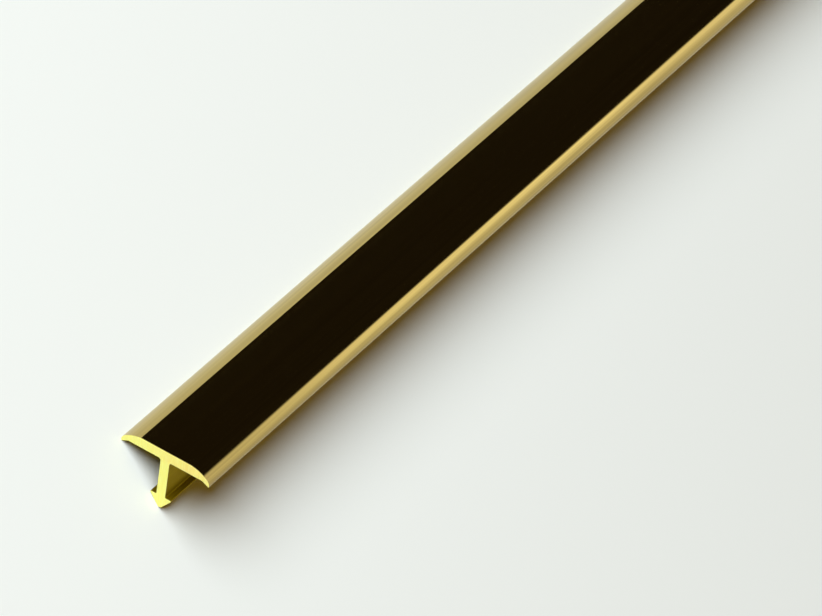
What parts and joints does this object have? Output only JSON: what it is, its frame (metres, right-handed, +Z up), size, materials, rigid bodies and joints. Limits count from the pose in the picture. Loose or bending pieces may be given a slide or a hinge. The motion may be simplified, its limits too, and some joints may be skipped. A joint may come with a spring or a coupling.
{
  "type": "floor divider strip",
  "caption": "Polished brass T-section strip that covers and divides the joint between two floor coverings: flat crown, sloping flanges, thin stem with a barbed foot",
  "frame": {"origin": "middle of the bounding box in plan, on the floor the strip lies on", "axes": "X along the strip; Z up; the flat top faces -Y and up, because the loose strip rests on the -Y edge of its head and on its foot"},
  "size_m": [0.9, 0.0204, 0.0201],
  "materials": {
    "polished_brass": "mirror polished on the head, plain as drawn below, saw cut at the ends"
  },
  "bodies": {
    "root": {"divider_strip": "polished_brass"}
  },
  "joints": []
}
